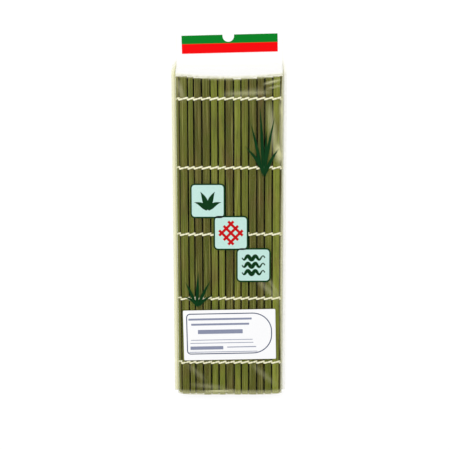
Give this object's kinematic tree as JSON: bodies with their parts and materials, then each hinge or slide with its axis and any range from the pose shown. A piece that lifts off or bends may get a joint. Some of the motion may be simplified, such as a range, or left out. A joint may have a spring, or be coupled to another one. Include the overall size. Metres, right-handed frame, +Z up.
{
  "type": "sushi rolling mat",
  "caption": "Bamboo slat mat twined with cotton thread, rolled flat in a clear retail pack with a header card and label; it slides out and opens slat by slat to roll sushi.",
  "frame": {"origin": "middle of the pack's outline on the surface it lies on, under the film's back sheet", "axes": "+X across the slats, +Y along the slats towards the header card, +Z up through the mat's skin side"},
  "size_m": [0.0842, 0.2726, 0.0093],
  "materials": {
    "bamboo": "split olive-green bamboo skin, satin",
    "cotton_thread": "twined cream cotton",
    "clear_film": "clear glossy film",
    "header_print": "printed card, green over red",
    "label_paper": "white coated paper"
  },
  "bodies": {
    "slat_01": {"slat_01": "bamboo", "stitches_01": "cotton_thread"},
    "slat_02": {"slat_02": "bamboo", "stitches_02": "cotton_thread"},
    "slat_03": {"slat_03": "bamboo", "stitches_03": "cotton_thread"},
    "slat_04": {"slat_04": "bamboo", "stitches_04": "cotton_thread"},
    "slat_05": {"slat_05": "bamboo", "stitches_05": "cotton_thread"},
    "slat_06": {"slat_06": "bamboo", "stitches_06": "cotton_thread"},
    "slat_07": {"slat_07": "bamboo", "stitches_07": "cotton_thread"},
    "slat_08": {"slat_08": "bamboo", "stitches_08": "cotton_thread"},
    "slat_09": {"slat_09": "bamboo", "stitches_09": "cotton_thread"},
    "slat_10": {"slat_10": "bamboo", "stitches_10": "cotton_thread"},
    "slat_11": {"slat_11": "bamboo", "stitches_11": "cotton_thread"},
    "slat_12": {"slat_12": "bamboo", "stitches_12": "cotton_thread"},
    "slat_13": {"slat_13": "bamboo", "stitches_13": "cotton_thread"},
    "slat_14": {"slat_14": "bamboo", "stitches_14": "cotton_thread"},
    "slat_15": {"slat_15": "bamboo", "stitches_15": "cotton_thread"},
    "slat_16": {"slat_16": "bamboo", "stitches_16": "cotton_thread"},
    "slat_17": {"slat_17": "bamboo", "stitches_17": "cotton_thread"},
    "slat_18": {"slat_18": "bamboo", "stitches_18": "cotton_thread"},
    "slat_19": {"slat_19": "bamboo", "stitches_19": "cotton_thread"},
    "slat_20": {"slat_20": "bamboo", "stitches_20": "cotton_thread"},
    "slat_21": {"slat_21": "bamboo", "stitches_21": "cotton_thread"},
    "slat_22": {"slat_22": "bamboo", "stitches_22": "cotton_thread"},
    "slat_23": {"slat_23": "bamboo", "stitches_23": "cotton_thread"},
    "slat_24": {"slat_24": "bamboo", "stitches_24": "cotton_thread"},
    "slat_25": {"slat_25": "bamboo", "stitches_25": "cotton_thread"},
    "slat_26": {"slat_26": "bamboo", "stitches_26": "cotton_thread"},
    "slat_27": {"slat_27": "bamboo", "stitches_27": "cotton_thread"},
    "pack": {"film_front": "clear_film", "film_back": "clear_film", "header_card": "header_print", "label_sticker": "label_paper"}
  },
  "joints": [
    {"name": "pack_slide", "type": "slide", "parent": "slat_14", "child": "pack", "axis": [0, 1, 0], "range_m": [0, 0.27], "deforming": ["film_front", "film_back", "label_sticker"]},
    {"name": "hinge_01", "type": "hinge", "parent": "slat_02", "child": "slat_01", "pos_m": [-0.00868, 0, 0.00172], "axis": [0, 1, 0], "range_deg": [-12, 15]},
    {"name": "hinge_02", "type": "hinge", "parent": "slat_03", "child": "slat_02", "pos_m": [-0.01466, 0, 0.00172], "axis": [0, 1, 0], "range_deg": [-12, 15]},
    {"name": "hinge_03", "type": "hinge", "parent": "slat_04", "child": "slat_03", "pos_m": [-0.01995, 0, 0.00172], "axis": [0, 1, 0], "range_deg": [-12, 15]},
    {"name": "hinge_04", "type": "hinge", "parent": "slat_05", "child": "slat_04", "pos_m": [-0.02587, 0, 0.00172], "axis": [0, 1, 0], "range_deg": [-12, 15]},
    {"name": "hinge_05", "type": "hinge", "parent": "slat_06", "child": "slat_05", "pos_m": [-0.03163, 0, 0.00172], "axis": [0, 1, 0], "range_deg": [-12, 15]},
    {"name": "hinge_06", "type": "hinge", "parent": "slat_07", "child": "slat_06", "pos_m": [-0.03737, 0, 0.00172], "axis": [0, 1, 0], "range_deg": [0, 90]},
    {"name": "hinge_07", "type": "hinge", "parent": "slat_08", "child": "slat_07", "pos_m": [-0.03737, 0, 0.00747], "axis": [0, 1, 0], "range_deg": [0, 90]},
    {"name": "hinge_08", "type": "hinge", "parent": "slat_09", "child": "slat_08", "pos_m": [-0.03105, 0, 0.00747], "axis": [0, 1, 0], "range_deg": [-12, 15]},
    {"name": "hinge_09", "type": "hinge", "parent": "slat_10", "child": "slat_09", "pos_m": [-0.02656, 0, 0.00747], "axis": [0, 1, 0], "range_deg": [-12, 15]},
    {"name": "hinge_10", "type": "hinge", "parent": "slat_11", "child": "slat_10", "pos_m": [-0.0207, 0, 0.00747], "axis": [0, 1, 0], "range_deg": [-12, 15]},
    {"name": "hinge_11", "type": "hinge", "parent": "slat_12", "child": "slat_11", "pos_m": [-0.01449, 0, 0.00747], "axis": [0, 1, 0], "range_deg": [-12, 15]},
    {"name": "hinge_12", "type": "hinge", "parent": "slat_13", "child": "slat_12", "pos_m": [-0.0088, 0, 0.00747], "axis": [0, 1, 0], "range_deg": [-12, 15]},
    {"name": "hinge_13", "type": "hinge", "parent": "slat_14", "child": "slat_13", "pos_m": [-0.00362, 0, 0.00747], "axis": [0, 1, 0], "range_deg": [-12, 15]},
    {"name": "hinge_14", "type": "hinge", "parent": "slat_14", "child": "slat_15", "pos_m": [0.0027, 0, 0.00747], "axis": [0, -1, 0], "range_deg": [-12, 15]},
    {"name": "hinge_15", "type": "hinge", "parent": "slat_15", "child": "slat_16", "pos_m": [0.00817, 0, 0.00747], "axis": [0, -1, 0], "range_deg": [-12, 15]},
    {"name": "hinge_16", "type": "hinge", "parent": "slat_16", "child": "slat_17", "pos_m": [0.01386, 0, 0.00747], "axis": [0, -1, 0], "range_deg": [-12, 15]},
    {"name": "hinge_17", "type": "hinge", "parent": "slat_17", "child": "slat_18", "pos_m": [0.01995, 0, 0.00747], "axis": [0, -1, 0], "range_deg": [-12, 15]},
    {"name": "hinge_18", "type": "hinge", "parent": "slat_18", "child": "slat_19", "pos_m": [0.02565, 0, 0.00747], "axis": [0, -1, 0], "range_deg": [-12, 15]},
    {"name": "hinge_19", "type": "hinge", "parent": "slat_19", "child": "slat_20", "pos_m": [0.03145, 0, 0.00747], "axis": [0, -1, 0], "range_deg": [-12, 15]},
    {"name": "hinge_20", "type": "hinge", "parent": "slat_20", "child": "slat_21", "pos_m": [0.03737, 0, 0.00747], "axis": [0, -1, 0], "range_deg": [0, 90]},
    {"name": "hinge_21", "type": "hinge", "parent": "slat_21", "child": "slat_22", "pos_m": [0.03737, 0, 0.00172], "axis": [0, -1, 0], "range_deg": [0, 90]},
    {"name": "hinge_22", "type": "hinge", "parent": "slat_22", "child": "slat_23", "pos_m": [0.03163, 0, 0.00172], "axis": [0, -1, 0], "range_deg": [-12, 15]},
    {"name": "hinge_23", "type": "hinge", "parent": "slat_23", "child": "slat_24", "pos_m": [0.02559, 0, 0.00172], "axis": [0, -1, 0], "range_deg": [-12, 15]},
    {"name": "hinge_24", "type": "hinge", "parent": "slat_24", "child": "slat_25", "pos_m": [0.02024, 0, 0.00172], "axis": [0, -1, 0], "range_deg": [-12, 15]},
    {"name": "hinge_25", "type": "hinge", "parent": "slat_25", "child": "slat_26", "pos_m": [0.01438, 0, 0.00172], "axis": [0, -1, 0], "range_deg": [-12, 15]},
    {"name": "hinge_26", "type": "hinge", "parent": "slat_26", "child": "slat_27", "pos_m": [0.00886, 0, 0.00172], "axis": [0, -1, 0], "range_deg": [-12, 15]}
  ],
  "couplings": [
    {"joint": "hinge_01", "follows": "pack_slide", "rad_per_m": 0.90499},
    {"joint": "hinge_02", "follows": "pack_slide", "rad_per_m": 0.90499},
    {"joint": "hinge_03", "follows": "pack_slide", "rad_per_m": 0.90499},
    {"joint": "hinge_04", "follows": "pack_slide", "rad_per_m": 0.90499},
    {"joint": "hinge_05", "follows": "pack_slide", "rad_per_m": 0.90499},
    {"joint": "hinge_06", "follows": "pack_slide", "rad_per_m": 4.9128},
    {"joint": "hinge_07", "follows": "pack_slide", "rad_per_m": 4.9128},
    {"joint": "hinge_08", "follows": "pack_slide", "rad_per_m": 0.90499},
    {"joint": "hinge_09", "follows": "pack_slide", "rad_per_m": 0.90499},
    {"joint": "hinge_10", "follows": "pack_slide", "rad_per_m": 0.90499},
    {"joint": "hinge_11", "follows": "pack_slide", "rad_per_m": 0.90499},
    {"joint": "hinge_12", "follows": "pack_slide", "rad_per_m": 0.90499},
    {"joint": "hinge_13", "follows": "pack_slide", "rad_per_m": 0.90499},
    {"joint": "hinge_14", "follows": "pack_slide", "rad_per_m": 0.90499},
    {"joint": "hinge_15", "follows": "pack_slide", "rad_per_m": 0.90499},
    {"joint": "hinge_16", "follows": "pack_slide", "rad_per_m": 0.90499},
    {"joint": "hinge_17", "follows": "pack_slide", "rad_per_m": 0.90499},
    {"joint": "hinge_18", "follows": "pack_slide", "rad_per_m": 0.90499},
    {"joint": "hinge_19", "follows": "pack_slide", "rad_per_m": 0.90499},
    {"joint": "hinge_20", "follows": "pack_slide", "rad_per_m": 4.9128},
    {"joint": "hinge_21", "follows": "pack_slide", "rad_per_m": 4.9128},
    {"joint": "hinge_22", "follows": "pack_slide", "rad_per_m": 0.90499},
    {"joint": "hinge_23", "follows": "pack_slide", "rad_per_m": 0.90499},
    {"joint": "hinge_24", "follows": "pack_slide", "rad_per_m": 0.90499},
    {"joint": "hinge_25", "follows": "pack_slide", "rad_per_m": 0.90499},
    {"joint": "hinge_26", "follows": "pack_slide", "rad_per_m": 0.90499}
  ]
}
